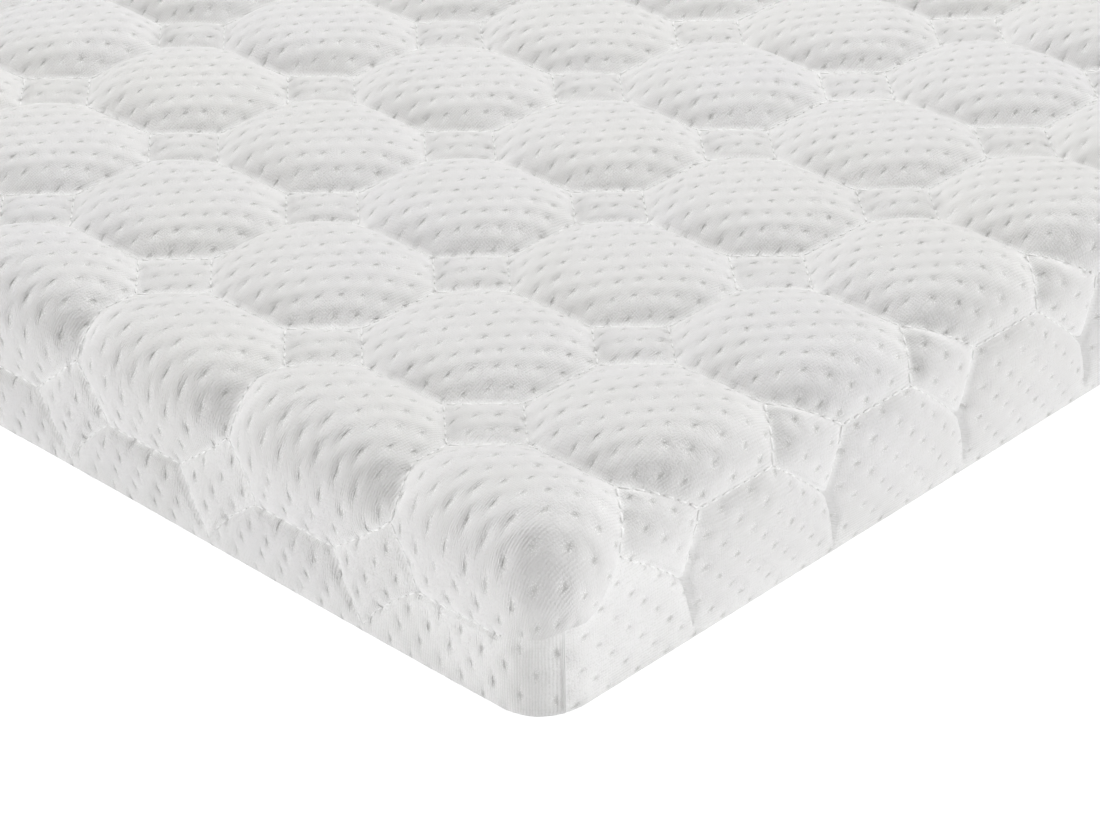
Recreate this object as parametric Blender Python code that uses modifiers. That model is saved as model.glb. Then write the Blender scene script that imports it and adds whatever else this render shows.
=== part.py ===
"""Mattress topper: one filled slab in a quilted cover, lying flat.

The middle of the underside is the origin and the long side runs along X. Only the
quarter at -X, -Y is modelled, and two mirrors make the rest. Places on the cover are
flat ones, as if its sides were still spread out level with the top.
"""

import math

import bmesh
import bpy
from mathutils import Vector

# The slab, in metres
LENGTH = 2.0  # between the lower edges of the two ends
WIDTH = 0.9  # between the lower edges of the two long sides
STITCH_HEIGHT = 0.0628  # from the underside to the stitched lines on top
EDGE_RADIUS = 0.0195  # roll of the top edge and of the upright corners
FOOT_RADIUS = 0.006  # small round where the sides turn under

# The quilting: octagons in columns and rows, with a small square between each four.
# Columns and rows are counted from the octagon that lies over the corner.
PITCH_X = 0.0757
PITCH_Y = 0.0824
MIDDLE_COLUMN = 13
MIDDLE_ROW = 5
CUT = 0.25  # how much of the pitch each cut corner of an octagon takes
OCTAGON_CROWN = 0.0092
SQUARE_CROWN = 0.003
ROUNDNESS = 2.2  # power of the crown: higher is steeper at the stitching
CORNER_FOLD = 0.038  # down the corner, where its octagon is tucked under

# Points stand on lines a quarter of the pitch apart, and on these down the sides
LINES_EACH = 4
SIDE_LINES = (  # column past the end, row past the side
    (0.0, -0.25),
    (-0.125, -0.375),
    (-0.25, -0.5),
    (-0.5, -0.75),
    (-0.75, -1.0),
)
CORNER_PARTS = 4  # parts of the quarter turn round the upright corner
MERGE = 0.00001

KNIT_COLOUR = (0.86, 0.86, 0.85, 1.0)
KNIT_ROUGHNESS = 0.85

# Where the flat top ends, and how far down over the edge the foot and the underside are
TOP_END = Vector((EDGE_RADIUS - LENGTH / 2, EDGE_RADIUS - WIDTH / 2))
ROLL = EDGE_RADIUS * math.pi / 2
TO_FOOT = ROLL + STITCH_HEIGHT - EDGE_RADIUS - FOOT_RADIUS
TO_UNDERSIDE = TO_FOOT + FOOT_RADIUS * math.pi / 2


def place(column, row):
    """Flat place on the cover, from its column and row."""
    return Vector(((column - MIDDLE_COLUMN) * PITCH_X, (row - MIDDLE_ROW) * PITCH_Y))


def crown(flat):
    """How far the filling lifts the cover at a place, between its stitched lines."""
    column, row = flat.x / PITCH_X, flat.y / PITCH_Y
    u, v = abs(column - round(column)), abs(row - round(row))
    past_cut = u + v - (1 - CUT)
    if past_cut > 0:
        lift, inside = SQUARE_CROWN, past_cut / CUT
    else:
        lift, inside = OCTAGON_CROWN, 2 * min(0.5 - u, 0.5 - v, -past_cut / math.sqrt(2))
    return lift * (1 - (1 - inside) ** ROUNDNESS)


def on_topper(flat):
    """Wraps a flat place over the edge of the slab and lifts it by the filling."""
    start = Vector((max(flat.x, TOP_END.x), max(flat.y, TOP_END.y)))
    out, down = (flat - start).normalized(), (flat - start).length
    if down > TO_FOOT + MERGE:
        return (start + out * (EDGE_RADIUS - FOOT_RADIUS)).to_3d()
    turn = min(down, ROLL) / EDGE_RADIUS
    normal = Vector((*(out * math.sin(turn)), math.cos(turn)))
    fall = EDGE_RADIUS + max(down - ROLL, 0)
    bare = Vector((*start, STITCH_HEIGHT - fall)) + normal * EDGE_RADIUS
    if out.x and out.y and down > CORNER_FOLD:
        return bare
    return bare + normal * crown(flat) * min((bare.z - FOOT_RADIUS) / EDGE_RADIUS, 1)


def side_lines():
    """Lines of flat places down the end, round the corner and along the side."""
    ends = [place(column, 0).x for column, _ in SIDE_LINES]
    ends += [TOP_END.x - TO_FOOT, TOP_END.x - TO_UNDERSIDE]
    sides = [place(0, row).y for _, row in SIDE_LINES]
    sides += [TOP_END.y - TO_FOOT, TOP_END.y - TO_UNDERSIDE]
    for step in range(MIDDLE_ROW * LINES_EACH, -1, -1):
        y = place(0, step / LINES_EACH).y
        yield [Vector((x, y)) for x in ends]
    for step in range(CORNER_PARTS + 1):
        share = step / CORNER_PARTS
        out = -Vector((math.cos(share * math.pi / 2), math.sin(share * math.pi / 2)))
        down = [
            (TOP_END.x - x) * (1 - share) + (TOP_END.y - y) * share
            for x, y in zip(ends, sides)
        ]
        yield [Vector((ends[0], sides[0]))] + [TOP_END + out * way for way in down[1:]]
    for step in range(1, MIDDLE_COLUMN * LINES_EACH + 1):
        column = step / LINES_EACH
        line = [Vector((place(column, 0).x, y)) for y in sides]
        if step % 2:
            line[1] = on_cut(column, SIDE_LINES[1][1])
        yield line


def on_cut(column, row):
    """Flat place where a row crosses the nearest cut corner's stitching."""
    middle = round(column)
    across = 1 - CUT - abs(row - round(row))
    return place(middle + math.copysign(across, column - middle), row)


def lay_grid(bm, rows):
    """Adds a grid of faces with its corners at the given rows of points."""
    made = bmesh.ops.create_grid(
        bm, x_segments=len(rows[0]) - 1, y_segments=len(rows) - 1, size=1
    )
    for vert, point in zip(made["verts"], [point for row in rows for point in row]):
        vert.co = point
    return made["verts"]


def lay_top(bm):
    """The flat top, from the lines where the sides start to the middle."""
    columns = range(MIDDLE_COLUMN * LINES_EACH + 1)
    rows = range(-1, MIDDLE_ROW * LINES_EACH + 1)
    spots = [[place(i / LINES_EACH, j / LINES_EACH) for i in columns] for j in rows]
    verts = lay_grid(bm, [[on_topper(flat) for flat in row] for row in spots])
    grid = dict(zip([(i, j) for j in rows for i in columns], verts))
    straighten(bm, grid)


def straighten(bm, grid):
    """Drops the middle point of the straight stitching between two octagons."""
    half = LINES_EACH // 2
    ends = {}
    for (i, j), vert in grid.items():
        across, along = i % LINES_EACH, j % LINES_EACH
        if i > 0 and (across, along) == (0, half) and (i + 1, j) in grid:
            ends[vert] = grid[i + 1, j]
        if (across, along) == (half, 0) and (i, j + 1) in grid:
            ends[vert] = grid[i, j + 1]
    bmesh.ops.weld_verts(bm, targetmap=ends)


def lay_sides(bm):
    """The sides with their foot, and the underside, which runs in to the middle."""
    lines = [[on_topper(flat) for flat in line] + [Vector()] for line in side_lines()]
    lay_grid(bm, [list(row) for row in zip(*lines)][::-1])


def knit():
    material = bpy.data.materials.new("white_knit")
    material.use_nodes = True
    shader = material.node_tree.nodes["Principled BSDF"]
    shader.inputs["Base Color"].default_value = KNIT_COLOUR
    shader.inputs["Roughness"].default_value = KNIT_ROUGHNESS
    return material


def quilted_topper():
    bm = bmesh.new()
    lay_top(bm)
    lay_sides(bm)
    bmesh.ops.remove_doubles(bm, verts=bm.verts, dist=MERGE)
    bmesh.ops.triangulate(bm, faces=bm.faces, quad_method="SHORT_EDGE")
    mesh = bpy.data.meshes.new("quilted_topper")
    bm.to_mesh(mesh)
    bm.free()
    mesh.materials.append(knit())
    topper = bpy.data.objects.new("quilted_topper", mesh)
    mirror = topper.modifiers.new("other_quarters", "MIRROR")
    mirror.use_axis = (True, True, False)
    mirror.merge_threshold = MERGE
    return topper


for thing in list(bpy.data.objects):
    bpy.data.objects.remove(thing)
collection = bpy.data.collections.new("mattress_topper")
bpy.context.scene.collection.children.link(collection)
collection.objects.link(quilted_topper())
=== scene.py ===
"""A quilted mattress topper, seen at one corner from above."""

import math

import bmesh
import bpy
import numpy as np
from mathutils import Matrix, Vector, noise


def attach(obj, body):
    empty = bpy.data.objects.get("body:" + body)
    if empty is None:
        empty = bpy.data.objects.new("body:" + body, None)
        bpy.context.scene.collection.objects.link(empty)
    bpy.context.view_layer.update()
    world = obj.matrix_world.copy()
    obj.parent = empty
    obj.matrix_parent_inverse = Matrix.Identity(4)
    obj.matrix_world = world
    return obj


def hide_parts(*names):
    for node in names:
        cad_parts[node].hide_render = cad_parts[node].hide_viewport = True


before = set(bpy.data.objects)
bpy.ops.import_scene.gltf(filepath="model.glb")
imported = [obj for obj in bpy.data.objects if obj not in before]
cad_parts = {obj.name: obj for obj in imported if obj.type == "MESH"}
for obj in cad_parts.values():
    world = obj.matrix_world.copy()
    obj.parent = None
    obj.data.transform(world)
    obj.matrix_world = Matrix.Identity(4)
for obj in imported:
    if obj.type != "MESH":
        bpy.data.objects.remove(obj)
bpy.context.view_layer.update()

# ---------------------------------------------------------------- the foam slab
# A flat slab of foam, with a soft roll along its top edge and round its corners.
# It doesn't show. Flat places on the cover are wrapped over it by this section.
LENGTH, WIDTH = 2.0, 0.9
STITCH_HEIGHT = 0.0628
EDGE_RADIUS = 0.0195
FOOT_RADIUS = 0.003
BOW_OUT, BOW_IN = 0.0026, 0.0014  # how far the foot of an end stands out and in
BOW_FROM = 1 / 3  # of the way to the corners, where it starts to turn outwards
SIDE_BOW = 0.0014  # how far the foot of a long side stands out
TOP_END = np.array((LENGTH / 2 - EDGE_RADIUS, WIDTH / 2 - EDGE_RADIUS))
ROLL = EDGE_RADIUS * math.pi / 2
TO_FOOT = ROLL + STITCH_HEIGHT - EDGE_RADIUS - FOOT_RADIUS
TO_UNDERSIDE = TO_FOOT + FOOT_RADIUS * math.pi / 2
TINY = 1e-9  # keeps a division safe


def soft_step(value, start=0, end=1):
    """Eases from 0 to 1 as the value goes from its start to its end."""
    gone = np.clip((value - start) / (end - start), 0, 1)
    return gone * gone * (3 - 2 * gone)


def over_slab(flat):
    """Points of the bare slab at flat places, the ways out of it, and how far down."""
    start = np.clip(flat, -TOP_END, TOP_END)
    past = flat - start
    down = np.hypot(past[:, 0], past[:, 1])
    out = past / np.maximum(down, TINY)[:, None]
    turn = np.minimum(down, ROLL) / EDGE_RADIUS
    normal = np.column_stack((out * np.sin(turn)[:, None], np.cos(turn)))
    level = STITCH_HEIGHT - EDGE_RADIUS - np.maximum(down - ROLL, 0)
    bare = np.column_stack((start, level)) + normal * EDGE_RADIUS
    under = np.clip((down - TO_FOOT) / FOOT_RADIUS, 0, math.pi / 2)
    drawn = (FOOT_RADIUS * (1 - np.cos(under)))[:, None] * out
    height = FOOT_RADIUS * (1 - np.sin(under))
    foot = np.column_stack((start + out * EDGE_RADIUS - drawn, height))
    below = down > TO_FOOT
    bare[below] = foot[below]
    bare[:, :2] += np.sign(flat) * bow(flat)
    return bare, normal, down


def bow(flat):
    """How far the foot stands out, on the ends most of all next to the corners."""
    low = soft_step(np.abs(flat) - TOP_END, 0, TO_FOOT)
    to_corner = soft_step(np.abs(flat[:, 1]) / TOP_END[1], BOW_FROM)
    end_bow = to_corner * (BOW_OUT + BOW_IN) - BOW_IN
    return low * np.column_stack((end_bow, np.full(len(flat), SIDE_BOW)))


# ------------------------------------------------------------- the quilted cover
# One panel of knit on wadding, sewn in octagons with small squares between them,
# wrapped over the edge and closed with an upright seam at each corner.
PITCH = np.array((0.0757, 0.0824))  # of the octagons, along the length and the width
CUT = 0.25  # how much of the pitch each cut corner of an octagon takes
END_COLUMN, END_ROW = 13, 5  # the last octagons on top, counted from the middle
CORNERS = ((1, 1), (-1, 1), (-1, -1), (1, -1))  # ways to them, of the topper or an octagon
OCTAGON_LIFT, SQUARE_LIFT = 0.0112, 0.0048
LOWER_LIFT = 0.012  # of the lower octagons, before the shares below
UNDER_LIFT = (0.0024, 0.0012, 0.0024)  # under the corner octagon: end, square and side
SPREAD, SQUARE_SPREAD = 0.05, 0.15  # how much the lift differs between pockets on top
LOWER_SPREAD, CORNER_SPREAD = 0.08, 0.03  # and down the sides, and at the corners
FILL_LEAN, MOST_LEAN = 1.6, 0.2  # how unevenly a pocket is filled across, to a metre
SIDE_LIFT, NOSE_LIFT = 0.45, 0.66  # share of the lift left on the sides and at the corners
SHARE_TURNS = 0.2, 1.2  # of the roll, from the full lift to those shares
NOSE_REACH = EDGE_RADIUS / 1.6  # past both ends of the top, where a corner's share is full
LIFT_ENDS = 0.046, 0.072  # how far down the lift starts to fade, and is gone
ROUNDNESS = 2.3  # power of a pocket's crown: higher is steeper at the stitching
GROOVE = 0.0018  # how softly the pockets start at their stitching
CREASES = ((26, 0.0008), (75, 0.00035))  # how fine they are, and how deep
CREASED_LIFT, LEAST_CREASED = 0.003, 0.1  # lift of full creases, and their least share
SIDE_STRETCH = 1.28  # of the knit, down the ends and sides

# The stitching down the sides pulls the cover in, its upright lines on the long sides
# more. It does so between these ways down, and less next to the foot and a corner.
DRAWN_IN, SIDE_DRAWN_IN = 0.0012, 0.0022
DRAWN_FROM, SIDE_DRAWN_FROM = (0.02, 0.035), (0.04, 0.052)
DRAWN_ABOVE_FOOT = 0.0008, 0.0058
DRAWN_BY_CORNER = 0.006

# Points along the stitching of a pocket, and its rings from there to its middle
POINTS_EVERY, CORNER_POINTS_EVERY = 0.0055, 0.0022
FINE_RINGS = (0, 0.06, 0.15, 0.27, 0.42, 0.6, 0.8)
FAR_RINGS = (0, 0.14, 0.42)
LOWER_RINGS = (0, 0.045, 0.12, 0.28, 0.55)
CORNER_RINGS = (0, 0.05, 0.1, 0.16, 0.22, 0.29, 0.36, 0.44, 0.53, 0.65, 0.8)
SQUARE_RINGS = (0, 0.2, 0.5)
EDGE_SQUARE_RINGS = (0, 0.1, 0.24, 0.42, 0.68)
FINE_REACH = 9  # octagons from the near corner, along and across together
FOOT_ROWS = 4
MERGE, SHORTEST = 0.00002, 0.000001  # points this near are sewn together, or dropped

# The cover is pulled down to the foot, which carries its quilting down and askew
LOWEST = (END_COLUMN + 0.5 + CUT) * PITCH[0] - TOP_END[0]  # of the squares on the ends
PULLED, PULL_POWER = 0.0093, 2.7  # how much further down those hang, and how late
FAR_DOWN = 1  # past everything
SIDE_LEAN = 0.0185  # how far away from the corners the quilting leans at the foot
END_LEAN, END_LEAN_TURN = 0.007, 0.088  # on the ends, to and fro once in that way down
CORNER_CALM, MIDDLE_CALM = 0.03, 0.3  # no lean next to the corners and in the middle

# The corner octagon's knit is gathered round the corner, between these turns
GATHERED, GATHER_TURNS = 0.6, (math.radians(80), math.radians(15))

# The corner octagon is tucked under: way round the corner, and how far down that is
SEAM_ALONG = 0.0217
SQUARE_ALONG = 0.0085  # where the stitching ends and the loose fold starts
FOLD = (
    (0, 0.04145), (0.003, 0.0411), (0.006, 0.0401), (SQUARE_ALONG, 0.0387), (0.0108, 0.0375),
    (0.0132, 0.0367), (0.0158, 0.036), (0.0185, 0.0347), (SEAM_ALONG, 0.0334), (0.0243, 0.0331),
    (0.0272, 0.0334), (0.03, 0.0329), (0.0325, 0.0318), (0.0345, 0.0298), (0.0362, 0.0274),
    (0.0395, 0.0254),
)
FOLD_ALONG = [along for along, _ in FOLD]
LOOSE = len(FOLD) - FOLD_ALONG.index(SQUARE_ALONG) - 1  # points of the fold past there
LIP_SHARE = 0.5  # how full the octagon still is at the fold
LIP_HANG = 0.0035  # how far the tucked octagon hangs over its fold
LIP_EDGE = 0.7  # share of that at its edge
LIP_ROWS = ((1, 0.7), (0.8, 0.35), (0, 0))  # how far down, and how full, it turns under

# Ends of the top and the foot, counted in octagons
FOOT_PLACE = (TOP_END + TO_FOOT) / PITCH
TOP_PLACE = TOP_END / PITCH

# The knit: small pits in staggered rows, with a soft dip along each row, and wales.
# Depths are in millimetres. A noise has how fine it is, to a metre, and a range has
# what that noise is multiplied by and what is then added.
MILLIMETRE = 0.001
PIT_SPACING = (0.0145, 0.01005)
SKEW = 0.19  # how far the rows lean for each step across
PIT_SIZE, RIM_SIZE, RIM_HOLE = (0.0014, 0.00065), (0.0021, 0.0015), (0.0009, 0.0005)
PIT_DEPTH, PIT_NOISE, PIT_RANGE = 0.44, 95, (1.6, 0.1)
DIP_DEPTH, DIP_NOISE, DIP_RANGE = 0.62, 60, (1.6, 0.2)
DIP_BETWEEN = 0.28  # share of a row's dip that is left between its pits
GLINT_HEIGHT, GLINT_NOISE, GLINT_RANGE = 0.03, 2600, (5.0, -2.7)  # painted highlights: bright specks on the rims, slightly raised
GLINT_SHINE = 2
WALE_WIDTH, WALE_SLANT, WALE_SHARE = 0.0009, 0.35, 0.75
LOOP_BETWEEN = 0.5  # share of a wale's height that is left between its loops
GRAIN_HEIGHT, FLUFF_NOISE = 0.125, 1150
FLUFF_PATCHES, PATCH_RANGE, FLUFF_RANGE = 40, (2.4, -0.6), (1.4, 0.6)
PIT_SHIFTS = ((55, 0.0024), (650, 0.0009))  # noise, and how far it moves them
WALE_SHIFT = (300, 0.0005)
RELIEF, END_RELIEF = 1.15, 0.33  # how strong all that is, and how much more down the ends
SIDE_RELIEF = 0.8  # how much less down the sides, as a share of the ends' more
TINT_PATCHES = 9  # to a metre
KNIT_WARM, KNIT_COOL = (0.81, 0.806, 0.785, 1), (0.80, 0.795, 0.82, 1)
KNIT_PAINTED_CREASE_LIGHT = (0.93, 0.93, 0.93, 1)  # painted light along the stitching, lightening the knit where little light gets in
PAINTED_LIGHT_LIFT = 0.0008  # lift at which that has faded
KNIT_GRAIN = (0.76, 0.76, 0.75, 1)
# painted shade in the pits, which the bump also sinks
KNIT_PAINTED_PIT_SHADE = (0.67, 0.67, 0.66, 1)
KNIT_GLINT = (1, 1, 1, 1)


def drawn_in(flat, down):
    """How far the stitching pulls the cover in, down the ends and the long sides."""
    past = np.abs(flat) - TOP_END
    on_side = (past[:, 1] > past[:, 0]) * soft_step(down, *SIDE_DRAWN_FROM)
    depth = DRAWN_IN + SIDE_DRAWN_IN * on_side
    straight = 1 - soft_step(past.min(1), 0, DRAWN_BY_CORNER)
    above = soft_step(TO_FOOT - down, *DRAWN_ABOVE_FOOT)
    return depth * straight * soft_step(down, *DRAWN_FROM) * above


def edge_points(start, end):
    """Evenly spaced spots from one corner of a pocket up to the next."""
    start, end = np.array(start, float), np.array(end, float)
    on_corner = (np.minimum(start, end) >= TOP_PLACE).all()
    every = CORNER_POINTS_EVERY if on_corner else POINTS_EVERY
    parts = max(1, round(np.hypot(*((end - start) * PITCH)) / every))
    return start + np.arange(parts)[:, None] / parts * (end - start)


def outline(corners):
    """Places along the stitching all round a pocket, in metres."""
    ends = list(corners[1:]) + [corners[0]]
    return np.concatenate([edge_points(a, b) for a, b in zip(corners, ends)]) * PITCH


def ringed(border, rings):
    """Places and faces of a pocket, in rings from its stitching in to its middle."""
    middle, count = border.mean(0), len(border)
    places = [middle + (border - middle) * (1 - ring) for ring in rings]
    here = np.arange(count)
    after = (here + 1) % count
    faces = []
    for ring in range(len(rings) - 1):
        outer, inner = ring * count, (ring + 1) * count
        faces += [
            np.column_stack((outer + here, outer + after, inner + after)),
            np.column_stack((outer + here, inner + after, inner + here)),
        ]
    last = (len(rings) - 1) * count
    centre = np.full(count, last + count)
    faces.append(np.column_stack((last + here, last + after, centre)))
    return np.concatenate(places + [middle[None]]), np.concatenate(faces)


def blown_up(places, faces, held):
    """Height from 0 to 1 of a pocket filled like a balloon, held down at some places."""
    size = len(places)
    pull = np.zeros((size, size))
    area = np.zeros(size)
    for turn in range(3):
        a, b, c = np.roll(faces, turn, 1).T
        first, second = places[a] - places[c], places[b] - places[c]
        twice = np.abs(first[:, 0] * second[:, 1] - first[:, 1] * second[:, 0])
        weight = (first * second).sum(1) / twice / 2
        np.add.at(pull, (a, b), weight)
        np.add.at(pull, (b, a), weight)
        np.add.at(area, a, twice / 6)
    spread = np.diag(pull.sum(1)) - pull
    height = np.zeros(size)
    free = ~held
    height[free] = np.linalg.solve(spread[np.ix_(free, free)], area[free])
    return np.maximum(height / height.max(), 0)


def pocket(border, rings, loose=0):
    """Template of a pocket: its cloth places, its faces and how it is filled.

    The first places of the border may be loose, where no stitching holds them down.
    """
    places, faces = ringed(border, rings)
    on_border = np.arange(len(places)) < len(border)
    full = blown_up(places, faces, on_border)
    if loose:
        open_edge = blown_up(places, faces, on_border & (np.arange(len(places)) >= loose))
        full += (open_edge - full) * LIP_SHARE
    return places, faces, full


def octagon_corners():
    reach = 0.5 - CUT
    half = [(reach, -0.5), (0.5, -reach), (0.5, reach), (reach, 0.5)]
    return half + [(-across, -along) for across, along in half]


def square_corners():
    return [(0, -CUT), (CUT, 0), (0, CUT), (-CUT, 0)]


def end_corners():
    """Octagon on an end, from its upper stitching to the foot, in its own column."""
    reach, foot = 0.5 - CUT, FOOT_PLACE[0] - END_COLUMN - 1
    return [(foot, -0.5), (foot, 0.5), (-reach, 0.5), (-0.5, reach),
            (-0.5, -reach), (-reach, -0.5)]


def side_corners():
    """Octagon on a long side, from its upper stitching to the foot, in its own row."""
    reach, foot = 0.5 - CUT, FOOT_PLACE[1] - END_ROW - 1
    return [(-0.5, foot), (-0.5, -reach), (-reach, -0.5), (reach, -0.5),
            (0.5, -reach), (0.5, foot)]


def fold_on_end():
    """The fold on the end's cloth, as if that hung straight on past the corner."""
    return np.array([(TOP_END[0] + down, TOP_END[1] + along) for along, down in FOLD])


def fold_on_side():
    """The fold on the side's cloth, as if that hung straight on past the corner."""
    return np.array([(TOP_END[0] + ROLL - along, TOP_END[1] + down) for along, down in FOLD])


def corner_outlines():
    """Outlines of the pockets at a corner: the tucked octagon, and those under it."""
    reach = 0.5 - CUT
    c, r = END_COLUMN, END_ROW
    start, seam = FOLD_ALONG.index(SQUARE_ALONG), FOLD_ALONG.index(SEAM_ALONG)
    on_end, on_side = fold_on_end(), fold_on_side()
    fold = round_corner(on_side)
    seam_row = TOP_PLACE[1] + SEAM_ALONG / PITCH[1]
    seam_column = TOP_PLACE[0] + (ROLL - SEAM_ALONG) / PITCH[0]
    square = on_end[start] / PITCH
    meets = square[0] + seam_row - square[1]
    seam_spot = (seam_column, (TOP_END[1] + meets * PITCH[0] - TOP_END[0]) / PITCH[1])

    def run(*spots):
        ways = [edge_points(a, b) for a, b in zip(spots[:-1], spots[1:])]
        return np.concatenate(ways) * PITCH

    top = [fold[start + 1:],
           run((c - reach, r + 0.5), (c - 0.5, r + reach), (c - 0.5, r - reach),
               (c - reach, r - 0.5), (c + reach, r - 0.5), (c + 0.5, r - reach),
               (c + 0.5, TOP_PLACE[1])),
           fold[:start + 1]]
    end = [run((FOOT_PLACE[0], r - 0.5), (FOOT_PLACE[0], TOP_PLACE[1]),
               (FOOT_PLACE[0], seam_row), (meets, seam_row), square),
           on_end[1:start + 1][::-1],
           run((c + 0.5, TOP_PLACE[1]), (c + 0.5, r - reach), (c + 1 - reach, r - 0.5),
               (FOOT_PLACE[0], r - 0.5))]
    patch = [run((meets, seam_row), on_end[seam] / PITCH), on_end[start + 1:seam + 1][::-1],
             run(square, (meets, seam_row))]
    side = [run((seam_column, FOOT_PLACE[1]), (TOP_PLACE[0], FOOT_PLACE[1]),
                (c - 0.5, FOOT_PLACE[1]), (c - 0.5, r + 1 - reach), (c - reach, r + 0.5),
                on_side[-1] / PITCH),
            on_side[seam + 1:][::-1],
            run(on_side[seam] / PITCH, seam_spot, (seam_column, FOOT_PLACE[1]))]
    return [np.concatenate(parts) for parts in (top, end, patch, side)]


def hung_over(border, places, faces, full):
    """Lets the loose edge of the corner octagon hang over its fold, and turns it under."""
    edge = np.arange(LOOSE)
    out = np.maximum(places[edge] - TOP_END, 0)
    out /= np.hypot(*out.T)[:, None]
    fold, filled = places[edge].copy(), full[edge].copy()
    ends = [border - 1, LOOSE]
    rows = [edge]
    for hang, share in LIP_ROWS:
        rows.append(len(places) + edge)
        places = np.concatenate((places, fold + out * (hang * LIP_HANG * filled)[:, None]))
        full = np.concatenate((full, filled * share))
    places[edge] = fold + out * (LIP_HANG * LIP_EDGE * filled)[:, None]
    more = []
    for upper, lower in zip(rows[:-1], rows[1:]):
        upper = np.concatenate((ends[:1], upper, ends[1:]))
        lower = np.concatenate((ends[:1], lower, ends[1:]))
        more += [np.column_stack((upper[:-1], lower[:-1], lower[1:])),
                 np.column_stack((upper[:-1], lower[1:], upper[1:]))]
    more = np.concatenate(more)
    twice = (more == np.roll(more, 1, 1)).any(1)
    return places, np.concatenate((faces, more[~twice])), full


def hang(places, gathered=False):
    """Where places of the quilting hang, once the cover is pulled down and askew.

    The cloth of a tucked octagon is gathered round the corner; the rest is sewn.
    """
    past = np.abs(places) - TOP_END
    over = np.maximum(past, 0)
    if not gathered:
        over = np.where(past == past.max(1)[:, None], over, 0)
    down = np.hypot(*over.T)
    low = np.interp(down, (LOWEST, TO_FOOT, FAR_DOWN), (LOWEST + PULLED, TO_FOOT, FAR_DOWN))
    hung = np.where(down < LOWEST, down + PULLED * (down / LOWEST) ** PULL_POWER, low)
    share = hung / np.maximum(down, TINY)
    calm = soft_step(-past, 0, CORNER_CALM) * np.minimum(np.abs(places) / MIDDLE_CALM, 1)
    over = over * share[:, None]
    lean = np.column_stack((
        -SIDE_LEAN * soft_step(over[:, 1], 0, TO_FOOT),
        END_LEAN * np.sin(over[:, 0] / END_LEAN_TURN * 2 * math.pi),
    ))
    moved = over - np.where(over > 0, past, 0) + lean * calm
    return places + np.sign(places) * moved


def round_corner(cloth):
    """Flat places of cloth that hangs straight on past a corner, once sewn round it."""
    past = np.abs(cloth) - TOP_END
    down, along = past.max(1), np.maximum(past.min(1), 0)
    turn = along / EDGE_RADIUS
    on_end = past[:, 0] > past[:, 1]
    out = np.column_stack((np.cos(turn), np.sin(turn)))
    out = np.where(on_end[:, None], out, out[:, ::-1])
    bent = (TOP_END + down[:, None] * out) * np.sign(cloth)
    return np.where((along > 0)[:, None], bent, cloth)


def eased_round_corner(flat):
    """Cloth places of the corner octagon, which is gathered a little round the corner."""
    past = np.maximum(np.abs(flat) - TOP_END, 0)
    down, turn = np.hypot(*past.T), np.arctan2(past[:, 1], past[:, 0])
    hung = TOP_END + np.column_stack((down, EDGE_RADIUS * turn))
    share = soft_step(down, 0, ROLL) * soft_step(turn, *GATHER_TURNS) * (past > 0).all(1)
    return flat + (hung * np.sign(flat) - flat) * GATHERED * share[:, None]


def stretched(cloth):
    """Places in the knit itself, which is pulled longer down the ends and sides."""
    past = np.abs(cloth) - TOP_END
    down = np.maximum(past - ROLL / 2, 0)
    return cloth - np.sign(cloth) * down * (1 - 1 / SIDE_STRETCH)


class Cover:
    """Gathers the pockets of the cover into one mesh."""

    def __init__(self):
        self.flat, self.cloth, self.lift, self.faces = [], [], [], []
        self.count = 0
        self.chance = np.random.default_rng(11)

    def add(self, places, faces, lift, turned=(1, 1), gathered=False):
        """Adds faces on places of the quilting, turned to their corner of the topper."""
        cloth = hang(places * turned, gathered)
        self.flat.append(cloth if gathered else round_corner(cloth))
        self.cloth.append(stretched(eased_round_corner(cloth) if gathered else cloth))
        self.lift.append(lift)
        faces = faces if turned[0] * turned[1] > 0 else faces[:, ::-1]
        self.faces.append(faces + self.count)
        self.count += len(places)

    def fill(self, template, middle, lift, spread, turned=(1, 1), gathered=False):
        """Adds a pocket with its middle at a spot, filled a little unevenly."""
        places, faces, full = template
        leans = self.chance.normal(0, FILL_LEAN, 2)
        full = (1 - (1 - full) ** ROUNDNESS) * lift * self.chance.normal(1, spread)
        more = np.clip((places - places.mean(0)) @ leans, -MOST_LEAN, MOST_LEAN)
        full *= 1 + more
        self.add(places + np.array(middle) * PITCH, faces, full, turned, gathered)

    def foot(self, start, end, turned=(1, 1)):
        """Adds the strip under a stretch of the foot, which turns in to the underside."""
        line = np.concatenate((edge_points(start, end), [end])) * PITCH
        out = np.array((1.0, 0.0) if start[0] == end[0] else (0.0, 1.0))
        steps = np.linspace(0, TO_UNDERSIDE - TO_FOOT, FOOT_ROWS)
        places = (line[None] + steps[:, None, None] * out).reshape(-1, 2)
        a, b, c, d = grid_corners(FOOT_ROWS, len(line))
        faces = np.concatenate((np.column_stack((a, d, c)), np.column_stack((a, c, b))))
        self.add(places, faces, np.zeros(len(places)), turned)


def grid_corners(rows, columns):
    """Numbers of the points at the four corners of each face of a grid."""
    numbers = np.arange(rows * columns).reshape(rows, columns)
    upper, lower = numbers[:-1], numbers[1:]
    return [part.ravel() for part in (upper[:, :-1], upper[:, 1:], lower[:, 1:], lower[:, :-1])]


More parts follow.
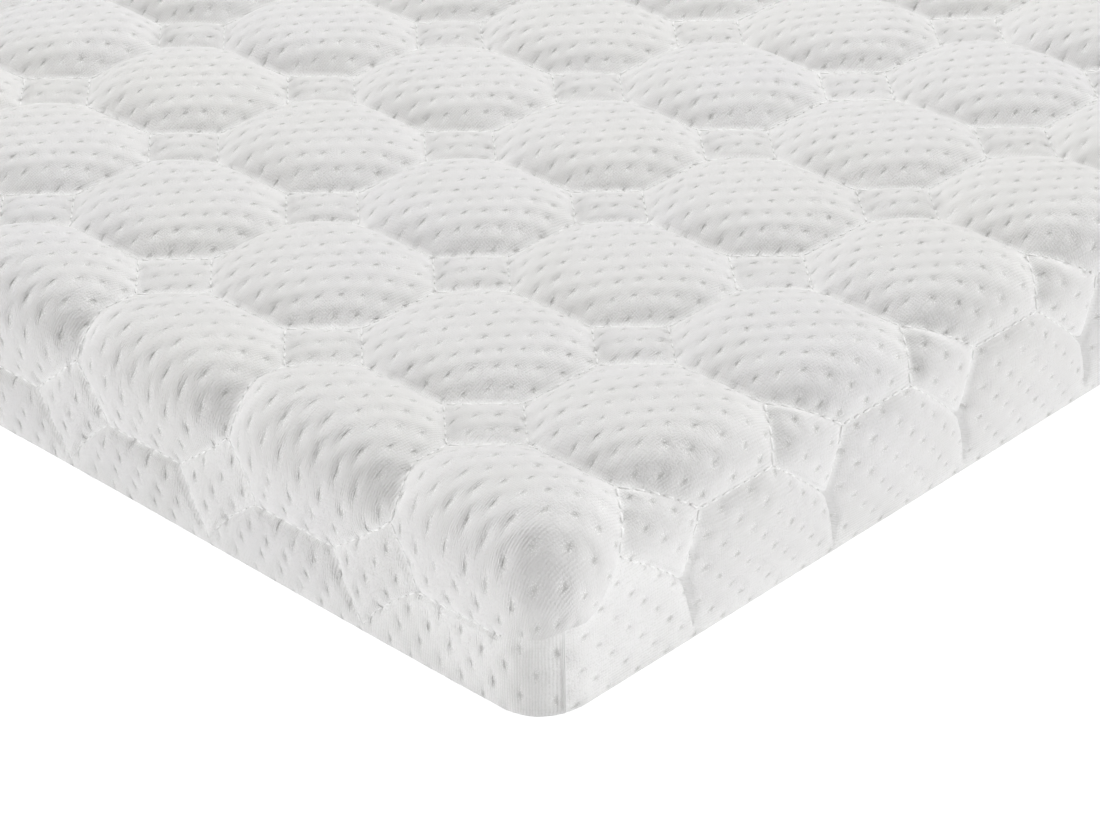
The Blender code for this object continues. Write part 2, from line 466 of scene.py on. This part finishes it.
def add_top(cover):
    """The octagons on top, and all the squares, down to those on the sides."""
    fine = pocket(outline(octagon_corners()), FINE_RINGS)
    plain = pocket(outline(octagon_corners()), FAR_RINGS)
    square = pocket(outline(square_corners()), SQUARE_RINGS)
    edge_square = pocket(outline(square_corners()), EDGE_SQUARE_RINGS)
    for column in range(-END_COLUMN, END_COLUMN + 1):
        for row in range(-END_ROW, END_ROW + 1):
            if abs(column) == END_COLUMN and abs(row) == END_ROW:
                continue
            near = column + END_COLUMN + row + END_ROW <= FINE_REACH
            near = near or abs(column) == END_COLUMN or abs(row) == END_ROW
            cover.fill(fine if near else plain, (column, row), OCTAGON_LIFT, SPREAD)
    for column in range(-END_COLUMN - 1, END_COLUMN + 1):
        for row in range(-END_ROW - 1, END_ROW + 1):
            middle = column + 0.5, row + 0.5
            on_edge = abs(middle[0]) > END_COLUMN, abs(middle[1]) > END_ROW
            if not all(on_edge):
                template = edge_square if any(on_edge) else square
                cover.fill(template, middle, SQUARE_LIFT, SQUARE_SPREAD)


def add_sides(cover):
    """The lower octagons along the ends and the long sides, and their foot."""
    end = pocket(outline(end_corners()), LOWER_RINGS)
    side = pocket(outline(side_corners()), LOWER_RINGS)
    for across in (1, -1):
        for row in range(-END_ROW + 1, END_ROW):
            cover.fill(end, (END_COLUMN + 1, row), LOWER_LIFT, LOWER_SPREAD, (across, 1))
            cover.foot((FOOT_PLACE[0], row - 0.5), (FOOT_PLACE[0], row + 0.5), (across, 1))
        for column in range(-END_COLUMN + 1, END_COLUMN):
            cover.fill(side, (column, END_ROW + 1), LOWER_LIFT, LOWER_SPREAD, (1, across))
            cover.foot((column + 0.5, FOOT_PLACE[1]), (column - 0.5, FOOT_PLACE[1]), (1, across))


def add_corners(cover):
    """The pockets round the four corners, with the fold and the seam between them."""
    top, end, square, side = corner_outlines()
    seam_row, seam_column = square[0][1] / PITCH[1], side[0][0] / PITCH[0]
    tucked = hung_over(len(top), *pocket(top, FINE_RINGS, LOOSE))
    under = [pocket(shape, CORNER_RINGS) for shape in (end, square, side)]
    for turned in CORNERS:
        cover.fill(tucked, (0, 0), OCTAGON_LIFT, CORNER_SPREAD, turned, gathered=True)
        for template, lift in zip(under, UNDER_LIFT):
            cover.fill(template, (0, 0), lift, CORNER_SPREAD, turned)
        foot = FOOT_PLACE
        cover.foot((foot[0], END_ROW - 0.5), (foot[0], TOP_PLACE[1]), turned)
        cover.foot((foot[0], TOP_PLACE[1]), (foot[0], seam_row), turned)
        cover.foot((seam_column, foot[1]), (TOP_PLACE[0], foot[1]), turned)
        cover.foot((TOP_PLACE[0], foot[1]), (END_COLUMN - 0.5, foot[1]), turned)


def creases(points):
    """Small unevenness of the wadding, different all over the cover."""
    waves = [[noise.noise(Vector(point) * fine) for point in points] for fine, _ in CREASES]
    return sum(deep * np.array(wave) for wave, (_, deep) in zip(waves, CREASES))


def cover_mesh():
    """The whole cover in places, with its knit's own places, the painted light along its stitching
    and how strong its relief is.
    """
    cover = Cover()
    add_top(cover)
    add_sides(cover)
    add_corners(cover)
    flat, cloth = np.concatenate(cover.flat), np.concatenate(cover.cloth)
    lift, faces = np.concatenate(cover.lift), np.concatenate(cover.faces)
    bare, normal, down = over_slab(flat)
    stitched = lift == 0
    lift = np.hypot(lift, GROOVE) - GROOVE
    past = np.abs(flat) - TOP_END
    share = SIDE_LIFT + (NOSE_LIFT - SIDE_LIFT) * soft_step(past.min(1), 0, NOSE_REACH)
    lift = lift * (1 - (1 - share) * soft_step(down / ROLL, *SHARE_TURNS))
    lift *= 1 - soft_step(down, *LIFT_ENDS)
    rough = creases(bare) * np.clip(lift / CREASED_LIFT, LEAST_CREASED, 1)
    points = bare + normal * (lift + rough - drawn_in(flat, down) * stitched)[:, None]
    mesh = bpy.data.meshes.new("quilted_cover")
    mesh.from_pydata(points.tolist(), [], faces.tolist())
    spread = mesh.uv_layers.new(name="cloth")
    corners = np.empty(len(mesh.loops), dtype=np.int32)
    mesh.loops.foreach_get("vertex_index", corners)
    spread.data.foreach_set("uv", cloth[corners].ravel())
    # Painted light: the knit is made lighter along the stitching, where its grooves are in shade
    painted_crease_light = mesh.attributes.new("painted_crease_light", "FLOAT", "POINT")
    painted_crease_light.data.foreach_set("value", np.exp(-lift / PAINTED_LIGHT_LIFT))
    pulled = mesh.attributes.new("pulled", "FLOAT", "POINT")
    on_end, on_side = soft_step(past, 0, ROLL).T
    pulled.data.foreach_set("value", on_end - SIDE_RELIEF * on_side)
    return mesh


def close_underside(mesh):
    """Sews the quarters together and closes the flat underside."""
    bm = bmesh.new()
    bm.from_mesh(mesh)
    bmesh.ops.remove_doubles(bm, verts=bm.verts, dist=MERGE)
    bmesh.ops.dissolve_degenerate(bm, edges=bm.edges, dist=SHORTEST)
    rim = [edge for edge in bm.edges if edge.is_boundary]
    made = bmesh.ops.holes_fill(bm, edges=rim, sides=0)["faces"]
    cloth = bm.loops.layers.uv["cloth"]
    for face in made:
        for loop in face.loops:
            loop[cloth].uv = loop.vert.co.xy
    bmesh.ops.triangulate(bm, faces=made)
    bm.to_mesh(mesh)
    bm.free()
    mesh.shade_smooth()


def knit_nodes():
    """Node group: a knit along wales, with rows of small pits that its threads pull in."""
    group = bpy.data.node_groups.new("pitted_knit", "ShaderNodeTree")
    nodes, links = group.nodes, group.links
    for name, kind, value in (
        ("Cloth", "NodeSocketVector", None),
        ("Pit spacing along", "NodeSocketFloat", PIT_SPACING[0]),
        ("Pit spacing across", "NodeSocketFloat", PIT_SPACING[1]),
        ("Wale width", "NodeSocketFloat", WALE_WIDTH),
    ):
        socket = group.interface.new_socket(name, in_out="INPUT", socket_type=kind)
        if value is not None:
            socket.default_value = value
    for name in ("Height", "Pit", "Glint", "Grain"):
        group.interface.new_socket(name, in_out="OUTPUT", socket_type="NodeSocketFloat")
    came, gone = nodes.new("NodeGroupInput"), nodes.new("NodeGroupOutput")

    def math_node(operation, *values, clamp=False):
        node = nodes.new("ShaderNodeMath")
        node.operation = operation
        node.use_clamp = clamp
        for slot, value in zip(node.inputs, values):
            if isinstance(value, (int, float)):
                slot.default_value = value
            else:
                links.new(value, slot)
        return node.outputs[0]

    def wave(turns):
        """1 at whole turns and 0 half way between them."""
        cosine = math_node("COSINE", math_node("MULTIPLY", turns, 2 * math.pi))
        return math_node("MULTIPLY_ADD", cosine, 0.5, 0.5)

    def noise_at(place, scale, detail=0.0):
        node = nodes.new("ShaderNodeTexNoise")
        node.inputs["Scale"].default_value = scale
        node.inputs["Detail"].default_value = detail
        links.new(place, node.inputs["Vector"])
        return node

    def shifted(place, scale, reach):
        """The place, moved by soft noise up to about half the reach each way."""
        moved = nodes.new("ShaderNodeVectorMath")
        moved.operation = "MULTIPLY_ADD"
        links.new(noise_at(place, scale, 1.0).outputs["Color"], moved.inputs[0])
        moved.inputs[1].default_value = (reach, reach, 0)
        links.new(place, moved.inputs[2])
        return moved.outputs[0]

    def noise_share(scale, times, plus, clamp=False):
        """Soft noise over the cloth, brought into a range."""
        fac = noise_at(cloth, scale).outputs["Fac"]
        return math_node("MULTIPLY_ADD", fac, times, plus, clamp=clamp)

    # Places in a slightly uneven lattice of pits, and twice the way from the nearest
    cloth = came.outputs["Cloth"]
    step_along, step_across = came.outputs["Pit spacing along"], came.outputs["Pit spacing across"]
    uneven = cloth
    for scale, reach in PIT_SHIFTS:
        uneven = shifted(uneven, scale, reach)
    place = nodes.new("ShaderNodeSeparateXYZ")
    links.new(uneven, place.inputs[0])
    straight = math_node("MULTIPLY_ADD", place.outputs["Y"], -SKEW, place.outputs["X"])
    along = math_node("DIVIDE", straight, step_along)
    across = math_node("DIVIDE", place.outputs["Y"], step_across)
    one_way, other_way = math_node("ADD", along, across), math_node("SUBTRACT", along, across)
    off_one = math_node("SUBTRACT", one_way, math_node("ROUND", one_way))
    off_other = math_node("SUBTRACT", other_way, math_node("ROUND", other_way))
    way_along = math_node("MULTIPLY", math_node("ADD", off_one, off_other), step_along)
    way_across = math_node("MULTIPLY", math_node("SUBTRACT", off_one, off_other), step_across)

    def spot(length, width):
        """1 in the middle of each pit, falling off over a length and a width."""
        far_along = math_node("POWER", math_node("DIVIDE", way_along, length * 2), 2.0)
        far_across = math_node("POWER", math_node("DIVIDE", way_across, width * 2), 2.0)
        far = math_node("ADD", far_along, far_across)
        return math_node("EXPONENT", math_node("MULTIPLY", far, -1.0))

    along_row = math_node("MULTIPLY_ADD", wave(other_way), 1 - DIP_BETWEEN, DIP_BETWEEN)
    dip = math_node("MULTIPLY", wave(one_way), along_row)
    dip = math_node("MULTIPLY", dip, noise_share(DIP_NOISE, *DIP_RANGE))
    pit = math_node("MULTIPLY", spot(*PIT_SIZE), noise_share(PIT_NOISE, *PIT_RANGE))
    rim = math_node("SUBTRACT", spot(*RIM_SIZE), spot(*RIM_HOLE), clamp=True)
    shine = noise_share(GLINT_NOISE, *GLINT_RANGE, clamp=True)
    shine = math_node("MULTIPLY", shine, rim)
    glint = math_node("MULTIPLY", shine, GLINT_SHINE, clamp=True)

    # Wales run along the cloth, each a column of small loops, with some fluff on them
    line = nodes.new("ShaderNodeSeparateXYZ")
    links.new(shifted(cloth, *WALE_SHIFT), line.inputs[0])
    wale_width = came.outputs["Wale width"]
    wale = wave(math_node("DIVIDE", line.outputs["Y"], wale_width))
    upright = math_node("DIVIDE", line.outputs["X"], wale_width)
    slanted = math_node("MULTIPLY_ADD", wale, WALE_SLANT, upright)
    loops = math_node("MULTIPLY_ADD", wave(slanted), 1 - LOOP_BETWEEN, LOOP_BETWEEN)
    wale = math_node("MULTIPLY", wale, loops)
    fluff = noise_at(cloth, FLUFF_NOISE, 1.0).outputs["Fac"]
    patches = noise_share(FLUFF_PATCHES, *PATCH_RANGE, clamp=True)
    fluff = math_node("MULTIPLY", fluff, math_node("MULTIPLY_ADD", patches, *FLUFF_RANGE))
    grain = math_node("MULTIPLY_ADD", wale, WALE_SHARE, fluff)

    # Millimetres out of the cloth
    height = math_node("MULTIPLY", dip, -DIP_DEPTH)
    height = math_node("MULTIPLY_ADD", pit, -PIT_DEPTH, height)
    height = math_node("MULTIPLY_ADD", glint, GLINT_HEIGHT, height)
    height = math_node("MULTIPLY_ADD", grain, GRAIN_HEIGHT, height)
    for name, value in (("Height", height), ("Pit", pit), ("Glint", glint), ("Grain", grain)):
        links.new(value, gone.inputs[name])
    return group


def knit_material():
    material = bpy.data.materials.new("white_knit")
    material.use_nodes = True
    nodes, links = material.node_tree.nodes, material.node_tree.links
    shader = nodes["Principled BSDF"]
    cloth = nodes.new("ShaderNodeUVMap")
    cloth.uv_map = "cloth"
    knit = nodes.new("ShaderNodeGroup")
    knit.node_tree = knit_nodes()
    links.new(cloth.outputs["UV"], knit.inputs["Cloth"])

    def mixed(share, first, second):
        """The first colour, with a share of the second in it."""
        node = nodes.new("ShaderNodeMix")
        node.data_type = "RGBA"
        for name, value in (("Factor", share), ("A", first), ("B", second)):
            slot = node.inputs[name]
            if isinstance(value, tuple):
                slot.default_value = value
            else:
                links.new(value, slot)
        return node.outputs["Result"]

    painted_crease_light = nodes.new("ShaderNodeAttribute")
    painted_crease_light.attribute_name = "painted_crease_light"
    tint = nodes.new("ShaderNodeTexNoise")
    tint.inputs["Scale"].default_value = TINT_PATCHES
    links.new(cloth.outputs["UV"], tint.inputs["Vector"])
    colour = mixed(tint.outputs["Fac"], KNIT_WARM, KNIT_COOL)
    # Painted light along the stitching, where the grooves are in shade
    colour = mixed(painted_crease_light.outputs["Fac"], colour, KNIT_PAINTED_CREASE_LIGHT)
    colour = mixed(knit.outputs["Grain"], KNIT_GRAIN, colour)
    # Painted shade in the pits
    colour = mixed(knit.outputs["Pit"], colour, KNIT_PAINTED_PIT_SHADE)
    # Painted highlights on the pits' rims
    colour = mixed(knit.outputs["Glint"], colour, KNIT_GLINT)
    links.new(colour, shader.inputs["Base Color"])
    shader.inputs["Roughness"].default_value = 0.78
    shader.inputs["Specular IOR Level"].default_value = 0.25
    shader.inputs["Sheen Weight"].default_value = 0.15
    shader.inputs["Sheen Roughness"].default_value = 0.5
    bump = nodes.new("ShaderNodeBump")
    bump.inputs["Distance"].default_value = MILLIMETRE

    # The knit shows more where the cover is pulled down the ends, and less on the sides
    pulled = nodes.new("ShaderNodeAttribute")
    pulled.attribute_name = "pulled"
    deeper = nodes.new("ShaderNodeMath")
    deeper.operation = "MULTIPLY_ADD"
    links.new(pulled.outputs["Fac"], deeper.inputs[0])
    deeper.inputs[1].default_value = END_RELIEF
    deeper.inputs[2].default_value = RELIEF
    relief = nodes.new("ShaderNodeMath")
    relief.operation = "MULTIPLY"
    links.new(knit.outputs["Height"], relief.inputs[0])
    links.new(deeper.outputs[0], relief.inputs[1])
    links.new(relief.outputs[0], bump.inputs["Height"])
    links.new(bump.outputs["Normal"], shader.inputs["Normal"])
    return material


cover_shape = cover_mesh()
close_underside(cover_shape)
cover_shape.materials.append(knit_material())
cover = bpy.data.objects.new("quilted_cover", cover_shape)
bpy.context.scene.collection.objects.link(cover)
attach(cover, "root")
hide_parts("quilted_topper")

# ---------------------------------------------------------- the quilting stitches
# Glossy white thread, sewn through the cover in single lines along every edge of
# the octagons and squares. Each stitch lies on the cloth between two needle holes.
STITCH_EVERY = 0.0052
STITCH_LENGTH, STITCH_WIDTH, STITCH_THICK = 0.0042, 0.0013, 0.0006
STITCH_LEAN, STITCH_SPREAD = 0.08, 0.12  # how much they lean, and differ in length
STITCH_SHOULDER = 0.3  # of its length, from its middle to where it starts to narrow
STITCH_COLOUR = (1, 1, 1, 1)
THREAD_FIBRES, FIBRE_HEIGHT = 2500, 0.0001  # to a metre, and how far they stand out
LINE_POINTS = 17  # along each stitched line
CORNER_SEWN = 0.012  # how far down round a corner its lines go on
UNDER_FOLD = (-0.015, 0.0205)  # past the end and the side, where the fold hides them
LAST_STITCH = TO_FOOT - 0.006  # how far down the lines end, just above the foot
FOLD_SEWN = 0.03  # way round the corner where the stitching of the fold starts
FOLD_LOWER = 0.0012  # how far below the fold's edge that is sewn


def quilting_lines():
    """Ends of the stitched lines, counted in octagons, with those down the sides."""
    reach = 0.5 - CUT
    for i in range(-END_COLUMN - 1, END_COLUMN + 2):
        for j in range(-END_ROW - 2, END_ROW + 3):
            yield (i + 0.5, j - reach), (i + 0.5, j + reach)
            yield (i - reach, j + 0.5), (i + reach, j + 0.5)
            for a, b in CORNERS:
                yield (i + a * 0.5, j + b * reach), (i + a * reach, j + b * 0.5)


def sewn_lines():
    """Where the stitched lines hang, and where each is hidden or was never sewn."""
    shares = np.linspace(0, 1, LINE_POINTS)[:, None]
    for start, end in quilting_lines():
        line = start * PITCH + shares * (np.array(end) - start) * PITCH
        past = np.abs(line) - TOP_END
        on_corner = (past > 0).all(1) & (past.max(1) > CORNER_SEWN)
        under_fold = (past > UNDER_FOLD).all(1)
        yield hang(line), on_corner | under_fold | (past.max(1) > LAST_STITCH)


def fold_lines():
    """The stitched end of the fold on the long side, at each corner."""
    line = fold_on_side()[FOLD_ALONG.index(FOLD_SEWN):] + (0, FOLD_LOWER)
    for turned in CORNERS:
        yield round_corner(hang(line * turned)), np.zeros(len(line), bool)


def stitch_places():
    """Flat places of the middles of all stitches, and the ways along their lines."""
    middles, ways = [], []
    for hung, hidden in list(sewn_lines()) + list(fold_lines()):
        step = np.hypot(*np.diff(hung, axis=0).T)
        gone = np.concatenate(([0], np.cumsum(step)))
        count = max(1, round(gone[-1] / STITCH_EVERY))
        stations = (np.arange(count) + 0.5) / count * gone[-1]
        hidden = np.interp(stations, gone, hidden) > 0
        near, far = (
            np.column_stack([np.interp(stations + way, gone, axis) for axis in hung.T])
            for way in (-STITCH_EVERY / 4, STITCH_EVERY / 4)
        )
        middles.append(((near + far) / 2)[~hidden])
        ways.append((far - near)[~hidden])
    middles, ways = np.concatenate(middles), np.concatenate(ways)
    return middles, ways / np.hypot(*ways.T)[:, None]


def on_stitching(flat):
    """Points of the cover along its stitched lines, and the ways out of it there."""
    bare, normal, down = over_slab(flat)
    return bare - normal * drawn_in(flat, down)[:, None], normal


def stitch_mesh():
    """A short round bar for each stitch, with both its ends drawn into the cover."""
    middles, ways = stitch_places()
    jitter = np.random.default_rng(5).normal(0, 1, (len(middles), 3))
    ways = ways + STITCH_LEAN * jitter[:, :1] * ways[:, ::-1] * (-1, 1)
    half = STITCH_LENGTH / 2 * (1 + STITCH_SPREAD * jitter[:, 1:2])
    middle, normal = on_stitching(middles)
    start, end = (on_stitching(middles + sign * half * ways)[0] for sign in (-1, 1))
    run = end - start
    side = np.cross(normal, run)
    side *= STITCH_WIDTH / 2 / np.linalg.norm(side, axis=1)[:, None]
    out = normal * STITCH_THICK / 2
    points = [start, end]
    for share in (-STITCH_SHOULDER, STITCH_SHOULDER):
        ring = middle + share * run
        points += [ring + side, ring + 2 * out, ring - side, ring - out]
    sides = []
    for a, b in ((2, 3), (3, 4), (4, 5), (5, 2)):
        sides += [(0, b, a), (a, b, b + 4), (a, b + 4, a + 4), (1, a + 4, b + 4)]
    firsts = len(points) * np.arange(len(middles))
    faces = (np.array(sides) + firsts[:, None, None]).reshape(-1, 3)
    points = np.stack(points, 1).reshape(-1, 3)
    mesh = bpy.data.meshes.new("quilting_thread")
    mesh.from_pydata(points.tolist(), [], faces.tolist())
    mesh.shade_smooth()
    return mesh


def fibre_nodes():
    """Node group: how high fine fibres stand, so many to a metre."""
    group = bpy.data.node_groups.new("fine_fibres", "ShaderNodeTree")
    group.interface.new_socket("Fibres", in_out="INPUT", socket_type="NodeSocketFloat")
    group.interface.new_socket("Height", in_out="OUTPUT", socket_type="NodeSocketFloat")
    nodes, links = group.nodes, group.links
    came, gone = nodes.new("NodeGroupInput"), nodes.new("NodeGroupOutput")
    where, fibres = nodes.new("ShaderNodeTexCoord"), nodes.new("ShaderNodeTexNoise")
    links.new(where.outputs["Object"], fibres.inputs["Vector"])
    links.new(came.outputs["Fibres"], fibres.inputs["Scale"])
    links.new(fibres.outputs["Fac"], gone.inputs["Height"])
    return group


FINE_FIBRES = fibre_nodes()


def fibre_bump(nodes, links, count):
    """Bump node of a material with fine fibres."""
    fibres, bump = nodes.new("ShaderNodeGroup"), nodes.new("ShaderNodeBump")
    fibres.node_tree = FINE_FIBRES
    fibres.inputs["Fibres"].default_value = count
    bump.inputs["Distance"].default_value = FIBRE_HEIGHT
    links.new(fibres.outputs["Height"], bump.inputs["Height"])
    return bump


def thread_material():
    material = bpy.data.materials.new("white_thread")
    material.use_nodes = True
    nodes, links = material.node_tree.nodes, material.node_tree.links
    shader = nodes["Principled BSDF"]
    shader.inputs["Base Color"].default_value = STITCH_COLOUR
    shader.inputs["Roughness"].default_value = 0.35
    bump = fibre_bump(nodes, links, THREAD_FIBRES)
    links.new(bump.outputs["Normal"], shader.inputs["Normal"])
    return material


thread_shape = stitch_mesh()
thread_shape.materials.append(thread_material())
thread = bpy.data.objects.new("quilting_thread", thread_shape)
bpy.context.scene.collection.objects.link(thread)
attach(thread, "root")

# -------------------------------------------------------------- the corner seams
# At each corner the two edges of the cover are rolled in and sewn to each other,
# upright from the fold down to the foot, where one of them stands out a little.
SEAM_SECTION = (  # across the seam and out of it, in half widths
    (-1.0, -0.6), (-1.0, 0.1), (-0.55, 0.5), (-0.12, 0.15), (0, -0.35),
    (0.12, 0.15), (0.55, 0.5), (1.0, 0.1), (1.0, -0.6),
)
SEAM_HALF_WIDTH = 0.0006
SEAM_TOP = FOLD[FOLD_ALONG.index(SEAM_ALONG)][1] - 0.001  # how far down, under the fold
SEAM_FOOT = TO_FOOT + 0.0035  # where it ends, turned under the foot
SEAM_ROWS = 26
HEM_EDGE = 0.3  # across the seam, in half widths, where the edge that stands out starts
HEM_OUT = 0.8  # how far it stands out, in half widths
HEM_FROM, HEM_ABOVE_FOOT = (0.045, 0.051), 0.004  # how far down it does, and to where
HEM_COLOUR = (0.86, 0.86, 0.86, 1)
HEM_FIBRES = 1100  # to a metre


def seam_points(turned):
    """Rows of points across the seam, from the fold down to under the foot."""
    down = np.linspace(SEAM_TOP, SEAM_FOOT, SEAM_ROWS)
    line = np.column_stack((TOP_END[0] + down, np.full(SEAM_ROWS, TOP_END[1] + SEAM_ALONG)))
    bare, normal = on_stitching(round_corner(hang(line * turned)))
    across = np.cross(np.gradient(bare, axis=0), normal) * turned[0] * turned[1]
    across /= np.linalg.norm(across, axis=1)[:, None]
    low = soft_step(down, *HEM_FROM) * soft_step(TO_FOOT - down, 0, HEM_ABOVE_FOOT)
    rows = []
    for side, out in SEAM_SECTION:
        hem = HEM_OUT * low * (side > HEM_EDGE) * (out > 0)
        rows.append(side * across + (out + hem)[:, None] * normal)
    return bare[:, None] + SEAM_HALF_WIDTH * np.stack(rows, 1)


def seam_mesh():
    """The closed bars of the four seams."""
    points, faces = [], []
    wide = len(SEAM_SECTION)
    for turned in CORNERS:
        first = len(points) * SEAM_ROWS * wide
        numbers = first + np.arange(SEAM_ROWS * wide).reshape(SEAM_ROWS, wide)
        after = np.roll(numbers, -1, 1)
        made = [tuple(numbers[0]), tuple(numbers[-1][::-1])]
        for row in range(SEAM_ROWS - 1):
            made += zip(numbers[row], numbers[row + 1], after[row + 1], after[row])
        faces += made if turned[0] * turned[1] < 0 else [face[::-1] for face in made]
        points.append(seam_points(turned).reshape(-1, 3))
    faces = [[int(number) for number in face] for face in faces]
    mesh = bpy.data.meshes.new("corner_seams")
    mesh.from_pydata(np.concatenate(points).tolist(), [], faces)
    mesh.shade_smooth()
    return mesh


def hem_material():
    material = bpy.data.materials.new("white_hem")
    material.use_nodes = True
    nodes, links = material.node_tree.nodes, material.node_tree.links
    shader = nodes["Principled BSDF"]
    shader.inputs["Base Color"].default_value = HEM_COLOUR
    shader.inputs["Roughness"].default_value = 0.7
    bump = fibre_bump(nodes, links, HEM_FIBRES)
    links.new(bump.outputs["Normal"], shader.inputs["Normal"])
    return material


seam_shape = seam_mesh()
seam_shape.materials.append(hem_material())
seams = bpy.data.objects.new("corner_seams", seam_shape)
bpy.context.scene.collection.objects.link(seams)
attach(seams, "root")

# ------------------------------------------------------------- floor and lighting
# A plain white floor that runs past the view, and a soft white sky. Wide far lights
# shine from behind, the left and the right, and a weak one from the front, and a
# soft panel hangs over the topper.
FLOOR_REACH = 40
FLOOR_COLOUR = (0.85, 0.85, 0.86, 1)
FLOOR_GLOW, SEEN_GLOW = 0.22, 0.4  # what it gives off, and how much more the camera sees
SKY_COLOUR, SKY_STRENGTH = (1, 0.985, 0.95, 1), 0.27
PANEL_SIZE, PANEL_POWER, PANEL_AT = 1, 10, (0.3, 0.5, 1.8)


def floor_mesh():
    mesh = bpy.data.meshes.new("floor")
    mesh.from_pydata([(FLOOR_REACH * a, FLOOR_REACH * b, 0) for a, b in CORNERS], [], [range(4)])
    return mesh


def floor_material():
    material = bpy.data.materials.new("white_floor")
    material.use_nodes = True
    nodes, links = material.node_tree.nodes, material.node_tree.links
    shader = nodes["Principled BSDF"]
    shader.inputs["Base Color"].default_value = FLOOR_COLOUR
    shader.inputs["Roughness"].default_value = 0.9
    shader.inputs["Emission Color"].default_value = (1, 1, 1, 1)
    seen, glow = nodes.new("ShaderNodeLightPath"), nodes.new("ShaderNodeMath")
    glow.operation = "MULTIPLY_ADD"
    links.new(seen.outputs["Is Camera Ray"], glow.inputs[0])
    glow.inputs[1].default_value = SEEN_GLOW
    glow.inputs[2].default_value = FLOOR_GLOW
    links.new(glow.outputs[0], shader.inputs["Emission Strength"])
    return material


floor_shape = floor_mesh()
floor_shape.materials.append(floor_material())
floor = bpy.data.objects.new("floor", floor_shape)
bpy.context.scene.collection.objects.link(floor)


def soft_light(name, towards, spread, strength):
    """A far, wide studio light that comes from a direction."""
    lamp = bpy.data.lights.new(name, "SUN")
    lamp.angle = math.radians(spread)
    lamp.energy = strength
    light = bpy.data.objects.new(name, lamp)
    light.rotation_euler = Vector(towards).to_track_quat("Z", "Y").to_euler()
    bpy.context.scene.collection.objects.link(light)


soft_light("behind", (0.38, 0.38, 0.84), 40, 1.4)
soft_light("left", (-0.72, 0.68, 0.15), 36, 1.6)
soft_light("right", (0.62, -0.77, 0.15), 45, 1.78)
soft_light("front", (-0.68, -0.71, 0.2), 60, 0.28)
panel = bpy.data.lights.new("overhead", "AREA")
panel.size = PANEL_SIZE
panel.energy = PANEL_POWER
overhead = bpy.data.objects.new("overhead", panel)
overhead.location = PANEL_AT
overhead.visible_camera = False
bpy.context.scene.collection.objects.link(overhead)
sky = bpy.data.worlds.new("white_sky")
sky.use_nodes = True
sky_light = sky.node_tree.nodes["Background"]
sky_light.inputs["Color"].default_value = SKY_COLOUR
sky_light.inputs["Strength"].default_value = SKY_STRENGTH
bpy.context.scene.world = sky
bpy.context.scene.view_settings.view_transform = "Standard"

# ------------------------------------------------------------------------ camera
# A long lens, close to the near corner and a little above it, turned slightly.
HEADING, STOOP, ROLLED = math.radians(44.39), math.radians(29.99), math.radians(-1.17)
NEAR_CORNER = Vector((-END_COLUMN * PITCH[0], -END_ROW * PITCH[1], STITCH_HEIGHT))
EYE = NEAR_CORNER + Vector((-0.6568, -0.6703, 0.5783))
LENS = 108.83  # millimetres, on a sensor 36 mm wide
SEES_TO = 50

ahead = Vector((
    math.cos(STOOP) * math.cos(HEADING),
    math.cos(STOOP) * math.sin(HEADING),
    -math.sin(STOOP),
))
level_right = ahead.cross(Vector((0, 0, 1))).normalized()
level_up = level_right.cross(ahead)
right = math.cos(ROLLED) * level_right + math.sin(ROLLED) * level_up
up = math.cos(ROLLED) * level_up - math.sin(ROLLED) * level_right
lens = bpy.data.cameras.new("camera")
lens.lens = LENS
lens.clip_end = SEES_TO
camera = bpy.data.objects.new("camera", lens)
turned = Matrix((right, up, -ahead)).transposed().to_4x4()
camera.matrix_world = Matrix.Translation(EYE) @ turned
bpy.context.scene.collection.objects.link(camera)
bpy.context.scene.camera = camera
